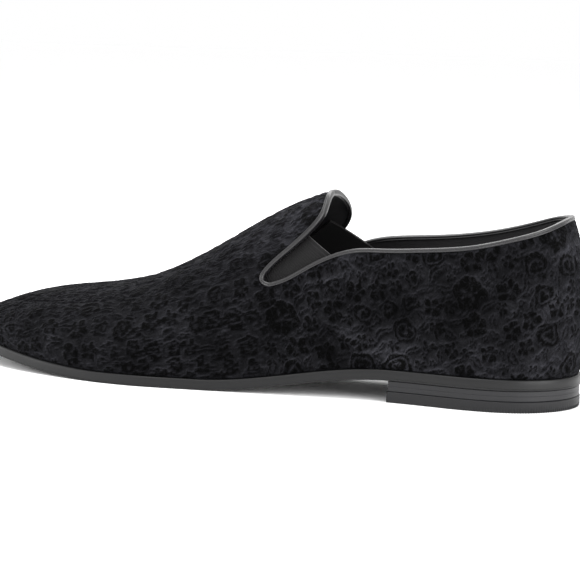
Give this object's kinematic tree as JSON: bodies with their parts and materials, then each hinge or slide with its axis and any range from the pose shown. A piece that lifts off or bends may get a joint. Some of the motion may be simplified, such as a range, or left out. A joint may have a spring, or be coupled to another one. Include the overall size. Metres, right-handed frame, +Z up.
{
  "type": "velvet slipper loafer",
  "caption": "Low-heeled velvet slip-on dress loafer with raised floral pile, leather-bound collar, notched tongue with elastic gores and a slim rubber sole.",
  "frame": {"origin": "on the floor plane, at the middle of the top piece's underside, under the heel", "axes": "-X to the toe, +X to the heel's back, -Y to the outer (lateral) side, +Z up"},
  "size_m": [0.3105, 0.0973, 0.0931],
  "materials": {
    "velvet": "black velvet, floral pile on a flatter ground, soft sheen",
    "binding_leather": "smooth black binding, semi-gloss",
    "elastic_outer": "black ribbed elastic webbing, matte",
    "elastic_inner": "black ribbed elastic webbing, matte",
    "insole_leather": "black smooth lining leather, matte",
    "outsole_rubber": "black moulded rubber, satin edge",
    "heel_rubber": "black heel lifts, satin edge",
    "top_piece_rubber": "black ribbed rubber, matte"
  },
  "bodies": {
    "root": {"upper": "velvet", "topline_binding": "binding_leather", "gore_outer": "elastic_outer", "gore_inner": "elastic_inner", "insole": "insole_leather", "outsole": "outsole_rubber", "heel_block": "heel_rubber", "top_piece": "top_piece_rubber"}
  },
  "joints": []
}
